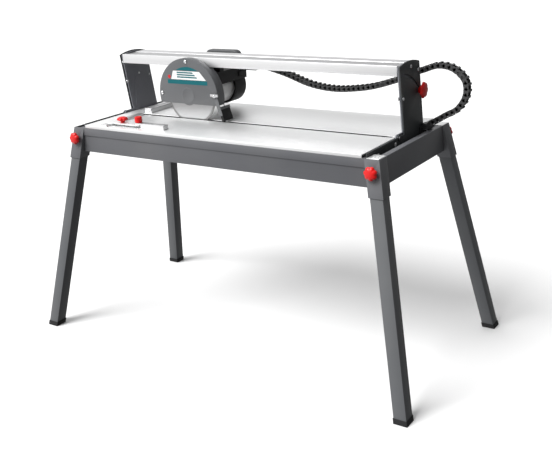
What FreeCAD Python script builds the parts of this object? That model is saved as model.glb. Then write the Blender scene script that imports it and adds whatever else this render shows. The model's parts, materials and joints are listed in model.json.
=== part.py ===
import FreeCAD, Part
import math
import os
import re

# Bridge tile cutter: a folded steel frame with four splayed plug-in legs, a slotted table over a water
# tray, and a tilting bridge rail. A carriage with the motor, blade and guard rolls along the rail.
# Millimetres. +X runs along the rail, +Y away from the user, +Z up. The origin is on the floor under
# the middle of the table.

SIZES = {
    # frame and legs
    "frame_length": 1150, "frame_width": 474, "frame_top": 715, "apron_height": 82,
    "lip_height": 24, "lip_step": 3, "sheet": 2, "flange": 17,
    "sleeve_size": 46, "sleeve_bore": 41, "sleeve_drop": 22, "leg_size": 40, "leg_bore": 36,
    "splay_along": 139, "splay_across": 126, "foot_size": 43, "foot_rise": 16, "foot_sole": 4,
    "leg_knob_level": 681,
    # table and tray
    "table_half": 522, "table_top": 725, "table_sheet": 3, "table_half_width": 237,
    "slot_start": 455, "slot_finish": 512, "slot_width": 18, "blade_plane": -28,
    "beam_width": 30, "beam_height": 32, "tray_half": 485, "tray_half_width": 222,
    "tray_height": 70, "tray_wall": 3,
    # bridge posts and tilting arms
    "post_inner": 530, "post_sheet": 4, "post_front": 5, "post_width": 132, "post_lean": 0.145,
    "post_peak": 935, "post_crown": 230, "strip_tip": -227, "strip_half": 188, "strip_low": 690,
    "strip_high": 727, "tilt_level": 723, "lock_reach": 179, "lock_angle": 49.7, "tilt_range": 45,
    "slot_half": 4.5, "arm_inner": 524, "arm_sheet": 4,
    # guide rail
    "rail_front": -20, "rail_depth": 112, "rail_low": 898, "rail_height": 30, "rail_wall": 3,
    "rail_mouth": 24, "rail_middle": 36,
    # carriage, motor and guard
    "motor_middle": -224, "motor_level": 806, "can_radius": 54, "can_length": 140,
    "bell_radius": 61.5, "bell_length": 60, "nose_radius": 60, "nose_length": 8.5,
    "housing_half": 66, "housing_low": 829, "deck_low": 868, "deck_sheet": 8, "deck_half": 85,
    "hanger_half": 100, "axle_spacing": 75, "axle_radius": 4, "roller_radius": 9.6,
    "blade_radius": 100, "blade_core": 2.2, "shaft_radius": 8, "washer_radius": 25,
    "guard_radius": 122, "guard_front": -45, "guard_sheet": 2.5, "guard_back": -8.5,
    "guard_edge": 778, "hub_radius": 33, "screw_circle": 111, "boss_radius": 9,
    "flap_middle": -112, "flap_level": 812, "flap_lean": 17, "flap_length": 88, "flap_head": 40,
    "bracket_length": 68,
    "handle_half": 71, "handle_front": 151, "handle_depth": 27, "handle_top": 927,
    # energy chain
    "chain_plane": 135, "link_pitch": 17, "link_height": 20, "link_width": 24, "link_gap": 0.8,
    # fence
    "bar_left": -455, "bar_width": 24, "bar_height": 6, "fence_line": -192, "arm_half": 18,
    "lock_place": -391, "swivel_place": -320, "fence_tip": -206,
    # fits and fasteners
    "running": 0.05, "bolt_radius": 3,
}

doc = FreeCAD.newDocument("tile_cutter")
sheet = doc.addObject("Spreadsheet::Sheet", "sizes")
for row, (word, value) in enumerate(SIZES.items(), 1):
    sheet.set(f"A{row}", word)
    sheet.set(f"B{row}", str(value))
    sheet.setAlias(f"B{row}", word)
doc.recompute()

WORD = re.compile(r"[a-z][a-z_]*")
FUNCTIONS = ("sin", "cos", "sqrt")
TURN = {
    "z": FreeCAD.Rotation(),
    "x": FreeCAD.Rotation(FreeCAD.Vector(0, 1, 0), 90),
    "y": FreeCAD.Rotation(FreeCAD.Vector(1, 0, 0), -90),
}
pieces = []


def bind(item, prop, text):
    """Ties a property to an expression whose words are the sheet's aliases."""
    item.setExpression(prop, WORD.sub(lambda w: w[0] if w[0] in FUNCTIONS else "sizes." + w[0], str(text)))


def place(item, at, turn=TURN["z"]):
    item.Placement = FreeCAD.Placement(FreeCAD.Vector(), turn)
    for axis, text in zip("xyz", at):
        bind(item, ".Placement.Base." + axis, text)
    return item


def block(low, size):
    """A box from its lowest corner and its three sizes."""
    item = doc.addObject("Part::Box", "block")
    for prop, text in zip(("Length", "Width", "Height"), size):
        bind(item, prop, text)
    return place(item, low)


def span(x, y, z):
    """A box from its low and high limits along each axis."""
    limits = (x, y, z)
    return block([low for low, _ in limits], [f"({high}) - ({low})" for low, high in limits])


def rod(start, radius, length, axis):
    """A cylinder along a row axis, from the middle of its lower end."""
    item = doc.addObject("Part::Cylinder", "rod")
    bind(item, "Radius", radius)
    bind(item, "Height", length)
    return place(item, start, TURN[axis])


def hexagon(start, radius, length, axis):
    item = doc.addObject("Part::Prism", "hexagon")
    item.Polygon = 6
    bind(item, "Circumradius", radius)
    bind(item, "Height", length)
    return place(item, start, TURN[axis])


def join(*parts):
    item = doc.addObject("Part::MultiFuse", "join")
    item.Shapes = list(parts)
    return item


def cut(base, *tools):
    item = doc.addObject("Part::Cut", "cut")
    item.Base = base
    item.Tool = tools[0] if len(tools) == 1 else join(*tools)
    return item


def overlap(first, second):
    item = doc.addObject("Part::Common", "overlap")
    item.Base = first
    item.Tool = second
    return item


def group(*solids):
    item = doc.addObject("Part::Compound", "group")
    item.Links = list(solids)
    return item


def node(label, item):
    item.Label = label
    pieces.append(item)
    return item


def side(sign, text):
    """The same distance on the left (-1) or right (1) of the middle."""
    return f"{sign} * ({text})"


def mirrored_span(sign, inner, outer, y, z):
    """A box between two distances from the middle, on the chosen side."""
    if sign < 0:
        return span((side(-1, outer), side(-1, inner)), y, z)
    return span((inner, outer), y, z)


# ---- frame corners: sleeves, legs, feet and their clamping knobs ----

CORNERS = {"front_left": (-1, -1), "front_right": (1, -1), "rear_left": (-1, 1), "rear_right": (1, 1)}


def corner_middle(sign, extent, splay, level):
    """Where a leg's centre line passes a height, along X or Y."""
    drop = f"{splay} * (frame_top - ({level})) / frame_top"
    return side(sign, f"{extent} / 2 - sleeve_size / 2 + {drop}")


def corner_prism(sign_x, sign_y, width, low, high):
    """A square bar whose centre line follows the leg, with level ends. A wedge's own Y runs up."""
    item = doc.addObject("Part::Wedge", "corner_prism")
    bind(item, "Ymin", low)
    bind(item, "Ymax", high)
    for level, letter in ((low, ""), (high, "2")):
        along = corner_middle(sign_x, "frame_length", "splay_along", level)
        across = corner_middle(-sign_y, "frame_width", "splay_across", level)
        bind(item, f"X{letter}min", f"{along} - ({width}) / 2")
        bind(item, f"X{letter}max", f"{along} + ({width}) / 2")
        bind(item, f"Z{letter}min", f"{across} - ({width}) / 2")
        bind(item, f"Z{letter}max", f"{across} + ({width}) / 2")
    item.Placement = FreeCAD.Placement(FreeCAD.Vector(), FreeCAD.Rotation(FreeCAD.Vector(1, 0, 0), 90))
    return item


def lobed_knob(at, axis, way, head, thick, lobes, shank, shank_length):
    """A clamping knob: a lobed head, a collar and a plain shank. way is +1 when the head points along
    the axis. at is where the collar meets the clamped part."""
    def along(first, length):
        start = list(at)
        index = "xyz".index(axis)
        begin = first if way > 0 else f"-({first}) - ({length})"
        start[index] = f"({at[index]}) + ({begin})"
        return start
    others = [index for index in range(3) if "xyz"[index] != axis]
    parts = [
        rod(along("6", thick), f"{head} * 0.72", thick, axis),
        rod(along("0", "6.5"), f"{head} * 0.42", "6.5", axis),
        rod(along(f"-({shank_length})", f"{shank_length} + 2"), shank, f"{shank_length} + 2", axis),
    ]
    for number in range(lobes):
        angle = 2 * math.pi * (number + 0.5) / lobes
        spot = along("6", thick)
        spot[others[0]] = f"({spot[others[0]]}) + {head} * {0.70 * math.cos(angle):.5f}"
        spot[others[1]] = f"({spot[others[1]]}) + {head} * {0.70 * math.sin(angle):.5f}"
        parts.append(rod(spot, f"{head} * 0.30", thick, axis))
    return join(*parts)


SLEEVE_LOW = "frame_top - apron_height - sleeve_drop"
for corner, (sign_x, sign_y) in CORNERS.items():
    knob_x = corner_middle(sign_x, "frame_length", "splay_along", "leg_knob_level")
    knob_face = f"frame_width / 2 + splay_across * (frame_top - leg_knob_level) / frame_top"
    hole = rod((knob_x, side(sign_y, knob_face) + " - 8", "leg_knob_level"), "bolt_radius + 1 + running", "16", "y")
    sleeve = join(
        cut(
            corner_prism(sign_x, sign_y, "sleeve_size", SLEEVE_LOW, "frame_top"),
            corner_prism(sign_x, sign_y, "sleeve_bore", f"{SLEEVE_LOW} - 1", "frame_top + 1"),
        ),
        corner_prism(sign_x, sign_y, "sleeve_bore + 1", "frame_top - 9", "frame_top - 6"),
    )
    node(f"leg_socket_{corner}", cut(sleeve, hole))
    node(f"leg_{corner}", cut(
        corner_prism(sign_x, sign_y, "leg_size", "foot_sole", "frame_top - 9.3"),
        corner_prism(sign_x, sign_y, "leg_bore", "foot_sole - 1", "frame_top"),
    ))
    node(f"foot_{corner}", cut(
        corner_prism(sign_x, sign_y, "foot_size", "0", "foot_rise"),
        corner_prism(sign_x, sign_y, "leg_size", "foot_sole", "foot_rise + 1"),
    ))
    knob_at = (knob_x, side(sign_y, f"{knob_face} + 2.5"), "leg_knob_level")
    node(f"leg_knob_{corner}", lobed_knob(knob_at, "y", sign_y, "20", "16", 7, "bolt_radius + 1", "4.3"))

# ---- frame sides: folded aprons front and rear, flanged plates at the ends, cross beams ----

SLEEVE_KEYS = [(sign_x, sign_y) for sign_x in (-1, 1) for sign_y in (-1, 1)]


def corner_cutters():
    return [corner_prism(sx, sy, "sleeve_size", f"{SLEEVE_LOW} - 5", "frame_top + 5") for sx, sy in SLEEVE_KEYS]


def across(sign, inner, outer, x, z):
    """A box between two distances from the middle line, in front (-1) or behind (1)."""
    if sign < 0:
        return span(x, (side(-1, outer), side(-1, inner)), z)
    return span(x, (inner, outer), z)


APRON_LOW = "frame_top - apron_height"
for label, sign in (("apron_front", -1), ("apron_rear", 1)):
    x = ("-frame_length / 2 + 2", "frame_length / 2 - 2")
    edge = "frame_width / 2"
    web = "frame_width / 2 - lip_step"
    shelf = "frame_top - lip_height"
    node(label, cut(join(
        across(sign, f"{edge} - sheet", edge, x, (f"{shelf} - sheet", "frame_top")),
        across(sign, f"{edge} - flange", edge, x, ("frame_top - sheet", "frame_top")),
        across(sign, f"{web} - sheet", edge, x, (f"{shelf} - sheet", shelf)),
        across(sign, f"{web} - sheet", web, x, (APRON_LOW, shelf)),
        across(sign, f"{web} - flange", web, x, (APRON_LOW, f"{APRON_LOW} + sheet")),
    ), *corner_cutters()))

for label, sign in (("end_plate_left", -1), ("end_plate_right", 1)):
    y = ("-frame_width / 2 + flange + 1", "frame_width / 2 - flange - 1")
    face = "frame_length / 2 - 2"
    node(label, cut(join(
        mirrored_span(sign, f"{face} - sheet", face, y, (APRON_LOW, "frame_top")),
        mirrored_span(sign, f"{face} - 19", face, y, ("frame_top - sheet", "frame_top")),
        mirrored_span(sign, f"{face} - 20", face, y, (APRON_LOW, f"{APRON_LOW} + sheet")),
    ), *corner_cutters()))


STRIP_BOLTS = (("-163", "706"), ("-55", "712"), ("163", "706"))
BEAM_LOW = "table_top - table_sheet - beam_height"


def cross_beam(sign):
    y = ("-frame_width / 2 + flange", "frame_width / 2 - flange")
    tube = cut(
        mirrored_span(sign, "table_half - beam_width", "table_half", y, (BEAM_LOW, "table_top - table_sheet")),
        mirrored_span(sign, "table_half - beam_width + 2", "table_half - 2", ("-250", "250"),
                      (f"{BEAM_LOW} + 2", "table_top - table_sheet - 2")),
    )
    holes = [rod((side(sign, "table_half") + " - 5", y_at, z_at), "bolt_radius + 0.2", "10", "x")
             for y_at, z_at in STRIP_BOLTS]
    return cut(tube, *holes)


node("cross_beams", group(cross_beam(-1), cross_beam(1)))

# ---- table: a sheet with turned-down edges and the blade slot; corner covers; tray, plug and pump ----

TABLE_LOW = "table_top - table_sheet"
TABLE_ENDS = ("-table_half", "table_half")
node("table_top", cut(
    join(
        span(TABLE_ENDS, ("-table_half_width", "table_half_width"), (TABLE_LOW, "table_top")),
        across(-1, "table_half_width - 3", "table_half_width", TABLE_ENDS, ("frame_top", "table_top")),
        across(1, "table_half_width - 3", "table_half_width", TABLE_ENDS, ("frame_top", "table_top")),
    ),
    span(("-slot_start", "slot_finish"),
         ("blade_plane - slot_width / 2 + 1", "blade_plane + slot_width / 2 + 1"),
         (f"{TABLE_LOW} - 5", "table_top + 5")),
))

node("corner_covers", group(*[
    across(sign, "frame_width / 2 - 46", "frame_width / 2 - 1",
           ("post_inner + post_sheet + 2", "frame_length / 2 - 2"), ("frame_top", "frame_top + 1.5"))
    for sign in (-1, 1)
]))

TRAY_LOW = "frame_top - apron_height + sheet"
tray_hole = ("-400", "150")
node("water_tray", cut(
    span(("-tray_half", "tray_half"), ("-tray_half_width", "tray_half_width"),
         (TRAY_LOW, f"{TRAY_LOW} + tray_height")),
    span(("-tray_half + tray_wall", "tray_half - tray_wall"),
         ("-tray_half_width + tray_wall", "tray_half_width - tray_wall"),
         (f"{TRAY_LOW} + tray_wall", f"{TRAY_LOW} + tray_height + 1")),
    rod((*tray_hole, f"{TRAY_LOW} - 1"), "9", "tray_wall + 2", "z"),
))
node("drain_plug", join(
    rod((*tray_hole, f"{TRAY_LOW} - 5"), "14", "5", "z"),
    rod((*tray_hole, f"{TRAY_LOW} - 1"), "8.9", "tray_wall + 3", "z"),
))
node("water_pump", join(
    span(("380", "440"), ("110", "160"), (f"{TRAY_LOW} + tray_wall", f"{TRAY_LOW} + tray_wall + 42")),
    rod(("410", "135", f"{TRAY_LOW} + tray_wall + 40"), "15", "8", "z"),
    rod(("425", "135", f"{TRAY_LOW} + tray_wall + 30"), "5", "32", "x"),
))

# ---- bridge posts: a leaning plate with a crowned top on a long foot strip, with the arc slot ----


def lean(level):
    return f"-post_lean * (({level}) - strip_high)"


def leaning_plate(sign, inner, thick, front, rear, low, high):
    """A plate across X whose front and rear edges lean forward as they rise."""
    item = doc.addObject("Part::Wedge", "leaning_plate")
    bind(item, "Ymin", low)
    bind(item, "Ymax", high)
    bound = (inner, f"{inner} + {thick}") if sign > 0 else (f"-({inner} + {thick})", f"-({inner})")
    for level, letter in ((low, ""), (high, "2")):
        bind(item, f"X{letter}min", bound[0])
        bind(item, f"X{letter}max", bound[1])
        bind(item, f"Z{letter}min", f"-(({rear}) + {lean(level)})")
        bind(item, f"Z{letter}max", f"-(({front}) + {lean(level)})")
    item.Placement = FreeCAD.Placement(FreeCAD.Vector(), FreeCAD.Rotation(FreeCAD.Vector(1, 0, 0), 90))
    return item


CROWN_MIDDLE = "post_front + post_width / 2 - post_lean * (post_peak - strip_high)"
LOCK_Y = "blade_plane + lock_reach * sin(lock_angle)"
LOCK_Z = "tilt_level + lock_reach * cos(lock_angle)"
GLIDES = (("50", "917"), ("-2", "832"), ("100", "900"))


def arc_slot(sign):
    """The slot that the lock knob follows, as a sector of a ring with round ends, about the tilt axis."""
    start = side(sign, "post_inner + post_sheet / 2") + " - 10"
    rings = []
    for grow in ("slot_half", "-slot_half"):
        ring = rod((start, "blade_plane", "tilt_level"), f"lock_reach + ({grow})", "20", "x")
        spin = FreeCAD.Rotation(FreeCAD.Vector(0, 0, 1), 180 - SIZES["lock_angle"])
        ring.Placement = FreeCAD.Placement(FreeCAD.Vector(), TURN["x"].multiply(spin))
        for axis, text in zip("xyz", (start, "blade_plane", "tilt_level")):
            bind(ring, ".Placement.Base." + axis, text)
        rings.append(ring)
    bind(rings[0], "Angle", "tilt_range")
    ends = []
    for angle in ("lock_angle", "lock_angle - tilt_range"):
        ends.append(rod((start, f"blade_plane + lock_reach * sin({angle})",
                         f"tilt_level + lock_reach * cos({angle})"), "slot_half", "20", "x"))
    return join(cut(*rings), *ends)


def post(sign):
    upright = overlap(
        leaning_plate(sign, "post_inner", "post_sheet", "post_front", "post_front + post_width",
                      "strip_low", "post_peak + 10"),
        rod((side(sign, "post_inner + post_sheet / 2") + " - 10", CROWN_MIDDLE, "post_peak - post_crown"),
            "post_crown", "20", "x"),
    )
    x = ("post_inner", "post_inner + post_sheet")
    strip = mirrored_span(sign, *x, ("-strip_half", "strip_half"), ("strip_low", "strip_high"))
    tip = mirrored_span(sign, *x, ("strip_tip", "0"), ("frame_top + 1.7", "strip_high"))
    pads = [mirrored_span(sign, "table_half", "post_inner", pad, ("strip_low", f"{TABLE_LOW} - 1"))
            for pad in (("-186", "-140"), ("140", "186"))]
    through = side(sign, "post_inner") + " - 12"
    bolts = [rod((through, y_at, z_at), "bolt_radius + 0.2", "24", "x") for y_at, z_at in STRIP_BOLTS]
    glides = [rod((through, y_at, z_at), "bolt_radius + 0.1", "24", "x") for y_at, z_at in GLIDES]
    pivot = rod((through, "blade_plane", "tilt_level"), "5.1", "24", "x")
    ear = rod((side(sign, "post_inner + post_sheet / 2") + " - post_sheet / 2", "blade_plane", "tilt_level"),
              "10", "post_sheet", "x")
    return cut(join(upright, strip, tip, ear, *pads), arc_slot(sign), pivot, *bolts, *glides)


for label, sign in (("post_left", -1), ("post_right", 1)):
    node(label, post(sign))


def headed(sign, face, y_at, z_at, radius, head_radius, head, inside):
    """A bolt along X: its head outside a face, its shank inside it."""
    if sign > 0:
        return join(rod((face, y_at, z_at), head_radius, head, "x"),
                    rod((f"{face} - ({inside})", y_at, z_at), radius, f"{inside} + 1", "x"))
    return join(rod((f"-({face}) - ({head})", y_at, z_at), head_radius, head, "x"),
                rod((f"-({face}) - 1", y_at, z_at), radius, f"{inside} + 1", "x"))


POST_FACE = "post_inner + post_sheet"
frame_screws = []
for sign in (-1, 1):
    for y_at, z_at in STRIP_BOLTS:
        inside = "post_sheet" if y_at == "-55" else "post_sheet + 10"
        frame_screws.append(headed(sign, POST_FACE, y_at, z_at, "bolt_radius", "6", "3", inside))

for sign in (-1, 1):
    for y_at, z_at in GLIDES:
        stud = headed(sign, POST_FACE, y_at, z_at, "bolt_radius", "5", "2", "post_sheet + 1.6")
        start = "arm_inner + arm_sheet + 0.4" if sign > 0 else "-post_inner"
        frame_screws.append(join(stud, rod((start, y_at, z_at), "7", "post_inner - arm_inner - arm_sheet - 0.4", "x")))
node("frame_screws", group(*frame_screws))

node("pivot_bolts", group(*[
    headed(sign, POST_FACE, "blade_plane", "tilt_level", "5", "7.5", "4", "post_sheet + 6") for sign in (-1, 1)
]))

# ---- tilting head: rail, two arms and their lock knobs ----


def arm(sign):
    """A plate that follows the post's outline just inside it, from the pivot to the rail's end."""
    plate = overlap(
        leaning_plate(sign, "arm_inner", "arm_sheet", "post_front + 3", "post_front + post_width - 3",
                      "tilt_level - 8", "post_peak"),
        rod((side(sign, "arm_inner + arm_sheet / 2") + " - 10", CROWN_MIDDLE, "post_peak - post_crown"),
            "post_crown - 3", "20", "x"),
    )
    x = ("arm_inner", "arm_inner + arm_sheet")
    ear = rod((side(sign, "arm_inner + arm_sheet / 2") + " - arm_sheet / 2", "blade_plane", "tilt_level"),
              "10", "arm_sheet", "x")
    neck = mirrored_span(sign, *x, ("blade_plane", "post_front + 10"), ("tilt_level - 8", "tilt_level + 10"))
    through = side(sign, "arm_inner + arm_sheet / 2") + " - 10"
    return cut(join(plate, ear, neck),
               rod((through, "blade_plane", "tilt_level"), "5 + running", "20", "x"),
               rod((through, LOCK_Y, LOCK_Z), "bolt_radius + 1 + running", "20", "x"))


for label, sign in (("tilt_arm_left", -1), ("tilt_arm_right", 1)):
    node(label, arm(sign))
    knob_at = (side(sign, "post_inner + post_sheet + 0.4"), LOCK_Y, LOCK_Z)
    shank = "post_sheet + 0.4 + post_inner - arm_inner - 0.2"
    node(label.replace("tilt_arm", "bevel_knob"),
         lobed_knob(knob_at, "x", sign, "25", "15", 7, "bolt_radius + 1", shank))

RAIL_X = ("-arm_inner", "arm_inner")
RAIL_REAR = "rail_front + rail_depth"
RAIL_HIGH = "rail_low + rail_height"
node("guide_rail", cut(
    span(RAIL_X, ("rail_front", RAIL_REAR), ("rail_low", RAIL_HIGH)),
    span(("-arm_inner - 1", "arm_inner + 1"), ("rail_front + rail_wall", f"{RAIL_REAR} - rail_wall"),
         ("rail_low + rail_wall", f"{RAIL_HIGH} - rail_wall - 2")),
    span(("-arm_inner - 1", "arm_inner + 1"), ("rail_middle - rail_mouth / 2", "rail_middle + rail_mouth / 2"),
         ("rail_low - 1", "rail_low + rail_wall + 1")),
    span(("-arm_inner - 1", "arm_inner + 1"), ("rail_front + 12", "rail_front + 66"),
         (f"{RAIL_HIGH} - 2", f"{RAIL_HIGH} + 1")),
))

# ---- carriage: deck and hanger, two axles with rollers, handle ----

ROLLER_LEVEL = "rail_low + rail_wall + roller_radius + 0.3"
DECK_HIGH = "deck_low + deck_sheet"


def from_motor(low, high):
    return (f"motor_middle + ({low})", f"motor_middle + ({high})")


node("carriage", cut(
    join(
        span(from_motor("-deck_half", "deck_half"), ("-6", "205"), ("deck_low", DECK_HIGH)),
        span(from_motor("deck_half - 1", "162"), ("chain_plane - 14", "chain_plane + 14"), ("deck_low", DECK_HIGH)),
        span(from_motor("-hanger_half + 15", "hanger_half - 15"), ("rail_middle - 10", "rail_middle + 10"),
             ("deck_low + 2", "rail_low")),
        span(from_motor("-hanger_half", "hanger_half"), ("rail_middle - 10", "rail_middle + 10"),
             ("rail_low - 8", f"{ROLLER_LEVEL} + 9")),
    ),
    *[rod((f"motor_middle + {sign} * axle_spacing", "-30", ROLLER_LEVEL), "axle_radius + running", "80", "y")
      for sign in (-1, 1)],
))
for label, sign in (("roller_pair_left", -1), ("roller_pair_right", 1)):
    x = f"motor_middle + {sign} * axle_spacing"
    node(label, join(
        rod((x, "rail_middle - 25.5", ROLLER_LEVEL), "axle_radius", "51", "y"),
        rod((x, "rail_middle - 25.5", ROLLER_LEVEL), "roller_radius", "12", "y"),
        rod((x, "rail_middle + 13.5", ROLLER_LEVEL), "roller_radius", "12", "y"),
    ))

HANDLE_Y = ("handle_front", "handle_front + handle_depth")
handle_round = "22"
node("push_handle", cut(
    join(
        span(from_motor("-handle_half", "handle_half"), HANDLE_Y, (DECK_HIGH, f"handle_top - {handle_round}")),
        span(from_motor(f"-handle_half + {handle_round}", f"handle_half - {handle_round}"), HANDLE_Y,
             (DECK_HIGH, "handle_top")),
        *[rod((f"motor_middle + {sign} * (handle_half - {handle_round})", "handle_front",
               f"handle_top - {handle_round}"), handle_round, "handle_depth", "y") for sign in (-1, 1)],
    ),
    span(from_motor("-handle_half + 17", "handle_half - 17"), ("handle_front - 1", "handle_front + handle_depth + 1"),
         (f"{DECK_HIGH} - 1", "handle_top - 16")),
))

# ---- motor: can with its nose, rear housing with the switch, shaft with the blade clamp ----


def motor_rod(start, radius, length):
    return rod(("motor_middle", start, "motor_level"), radius, length, "y")


node("motor_can", cut(
    join(motor_rod("-nose_length", "nose_radius", "nose_length"), motor_rod("0", "can_radius", "can_length")),
    motor_rod("3", "can_radius - 4", "can_length"),
    motor_rod("-nose_length - 1", "shaft_radius + 3.2", "20"),
))
node("motor_bearings", group(
    cut(motor_rod("-nose_length", "shaft_radius + 3", "10"), motor_rod("-nose_length - 1", "shaft_radius + running", "14")),
    cut(motor_rod("can_length - 4", "shaft_radius + 14", "10"),
        motor_rod("can_length - 6", "shaft_radius + running", "14")),
))
node("rear_housing", cut(
    join(
        motor_rod("can_length", "bell_radius", "bell_length"),
        span(from_motor("-housing_half", "housing_half"), ("2", "can_length + bell_length"), ("housing_low", "deck_low")),
    ),
    motor_rod("-5", "can_radius + 0.01", "can_length + 5"),
    motor_rod("can_length - 1", "bell_radius - 3", "bell_length - 2"),
    span(from_motor("-housing_half + 3", "housing_half - 3"), ("5", "can_length + bell_length - 3"),
         ("housing_low - 1", "deck_low - 3")),
    span(from_motor("housing_half - 5", "housing_half + 1"), ("150", "178"), ("839", "857")),
))
node("switch_rocker", join(
    rod(("motor_middle + housing_half - 3", "164", "848"), "2.5", "3", "x"),
    span(from_motor("housing_half - 2.5", "housing_half + 3"), ("152", "176"), ("841", "855")),
))
node("motor_shaft", join(
    motor_rod("blade_plane - 12.5", "shaft_radius", "can_length + 34"),
    motor_rod("25", "34", "85"),
))

def on_shaft(item):
    return cut(item, motor_rod("-60", "shaft_radius + 0.02", "60"))


node("blade_clamp", group(
    on_shaft(motor_rod("blade_plane + blade_core / 2", "washer_radius", "6")),
    on_shaft(motor_rod("blade_plane - blade_core / 2 - 5", "washer_radius", "5")),
    on_shaft(hexagon(("motor_middle", "blade_plane - blade_core / 2 - 11.5", "motor_level"), "13", "6.5", "y")),
))
node("blade", on_shaft(join(
    motor_rod("blade_plane - blade_core / 2 + 0.2", "blade_radius - 4", "blade_core - 0.4"),
    motor_rod("blade_plane - blade_core / 2", "washer_radius + 1", "blade_core"),
    cut(motor_rod("blade_plane - blade_core / 2", "blade_radius", "blade_core"),
        motor_rod("blade_plane - 5", "blade_radius - 7", "10")),
)))

# ---- blade guard: rear shell, front cover, screws ----

BELOW_GUARD = (from_motor("-200", "200"), ("-80", "20"), ("600", "guard_edge"))
SCREWS = (90, 178)
FLAP_X = "flap_middle"
COVER_BACK = "guard_front + guard_sheet"


def on_guard(angle, reach="screw_circle"):
    return (f"motor_middle + {reach} * {math.cos(math.radians(angle)):.5f}",
            f"motor_level + {reach} * {math.sin(math.radians(angle)):.5f}")


def guard_rod(spot, start, radius, finish):
    return rod((spot[0], start, spot[1]), radius, f"({finish}) - ({start})", "y")


spots = [on_guard(angle) for angle in SCREWS] + [(FLAP_X, "flap_level")]
node("guard_cover", cut(
    join(
        cut(motor_rod("guard_front", "guard_radius", "guard_sheet"), span(*BELOW_GUARD)),
        motor_rod("guard_front", "hub_radius", "guard_sheet"),
    ),
    *[guard_rod(spot, "-60", "bolt_radius + running", "-30") for spot in spots],
))
shell = cut(
    motor_rod(COVER_BACK, "guard_radius", "guard_back - guard_front - guard_sheet"),
    motor_rod(f"{COVER_BACK} - 1", "guard_radius - guard_sheet", "guard_back - guard_front - 2 * guard_sheet + 1"),
)
node("guard_shell", cut(
    join(shell, *[guard_rod(spot, COVER_BACK, "boss_radius", "-11") for spot in spots]),
    span(*BELOW_GUARD),
    motor_rod("-20", "washer_radius + 5", "30"),
    motor_rod(COVER_BACK + " - 1", "blade_radius + 1.5", "27"),
    span(from_motor("-200", "200"), ("-22.5", "20"), ("rail_low - 4", "960")),
    *[guard_rod(spot, "-60", "bolt_radius + running", "20") for spot in spots],
))
screw_solids = []
for spot in spots[:2]:
    screw_solids.append(join(guard_rod(spot, "guard_front - 3", "5.5", "guard_front"),
                             guard_rod(spot, "guard_front - 1", "bolt_radius", "guard_front + 20")))
screw_solids.append(join(guard_rod(spots[2], "guard_front - 9", "bolt_radius", "guard_back + 4"),
                         guard_rod(spots[2], "guard_back + 3.2", "6", "guard_back + 7")))
node("guard_screws", group(*screw_solids))

# ---- splash flap: bracket, rubber and wing nut, hung from the guard's right screw ----


def hung(low_x, high_x, y, low, high):
    """A box placed against the flap's pivot, which then leans about it."""
    item = span((low_x, high_x), y, (low, high))
    item.Placement.Rotation = FreeCAD.Rotation(FreeCAD.Vector(0, 1, 0), -SIZES["flap_lean"])
    turned = {
        "x": f"flap_middle + ({low_x}) * cos(flap_lean) - ({low}) * sin(flap_lean)",
        "z": f"flap_level + ({low_x}) * sin(flap_lean) + ({low}) * cos(flap_lean)",
    }
    for axis, text in turned.items():
        bind(item, ".Placement.Base." + axis, text)
    return item


FRONT_CHEEK = ("guard_front - 2", "guard_front - 0.4")
REAR_CHEEK = ("guard_back + 0.4", "guard_back + 2.2")
pivot_clearance = guard_rod(spots[2], "-60", "bolt_radius + running", "20")
node("flap_bracket", cut(
    join(
        hung("-7", "7", FRONT_CHEEK, "-bracket_length", "9"),
        hung("-7", "-5.2", REAR_CHEEK, "-flap_head - 5", "9"),
        hung("-7", "7", REAR_CHEEK, "-8", "9"),
        hung("-7", "-5.2", ("guard_front - 2", "5"), "-bracket_length", "-flap_head"),
        hung("5.2", "7", ("guard_front - 2", "5"), "-flap_head - 9", "-flap_head"),
    ),
    pivot_clearance,
))
node("rubber_flap", hung("-5", "5", ("guard_front", "5"), "-flap_length", "-flap_head"))
node("wing_nut", cut(
    join(
        guard_rod(spots[2], "guard_front - 8", "6", "guard_front - 2.6"),
        span(("flap_middle - 15", "flap_middle + 15"), ("guard_front - 7", "guard_front - 4"),
             ("flap_level - 3", "flap_level + 5")),
    ),
    guard_rod(spots[2], "-60", "bolt_radius + running", "-40"),
))

# ---- energy chain: separate links from the carriage's tongue, over a free loop, to the frame ----

# the middle line in the chain's own plane, along X and Z
CHAIN_ROUTE = [(-62, 888), (32, 867), (178, 826), (322, 828), (445, 858), (540, 895), (597, 909),
               (650, 889), (672, 852), (655, 795), (600, 758), (566, 738)]


def chain_links():
    """Closed boxes one pitch apart on the middle line, each with a small gap to the next."""
    plane = sheet.get("chain_plane")
    tall = sheet.get("link_height")
    wide = sheet.get("link_width")
    curve = Part.BSplineCurve()
    curve.interpolate([FreeCAD.Vector(x, plane, z) for x, z in CHAIN_ROUTE])
    length = curve.length()
    count = round(length / sheet.get("link_pitch"))
    pitch = length / count
    long = pitch - sheet.get("link_gap")
    links = []
    for number in range(count):
        begin = curve.value(curve.parameterAtDistance(number * pitch, curve.FirstParameter))
        finish = curve.value(curve.parameterAtDistance((number + 1) * pitch, curve.FirstParameter))
        way = (finish - begin).normalize()
        link = Part.makeBox(long, wide, tall, FreeCAD.Vector(-long / 2, -wide / 2, -tall / 2))
        turn = FreeCAD.Rotation(FreeCAD.Vector(0, 1, 0), -math.degrees(math.atan2(way.z, way.x)))
        link.Placement = FreeCAD.Placement((begin + finish) * 0.5, turn)
        links.append(link)
    return links


chain = doc.addObject("Part::Feature", "energy_chain")
chain.Shape = Part.makeCompound(chain_links())
node("energy_chain", chain)
node("chain_anchor", join(
    span((POST_FACE, f"{POST_FACE} + 4"), ("chain_plane - 25", "chain_plane + 16"), ("700", "strip_high")),
    span((POST_FACE, f"{POST_FACE} + 26"), ("chain_plane - 14", "chain_plane + 14"), ("716", "734")),
))

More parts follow.
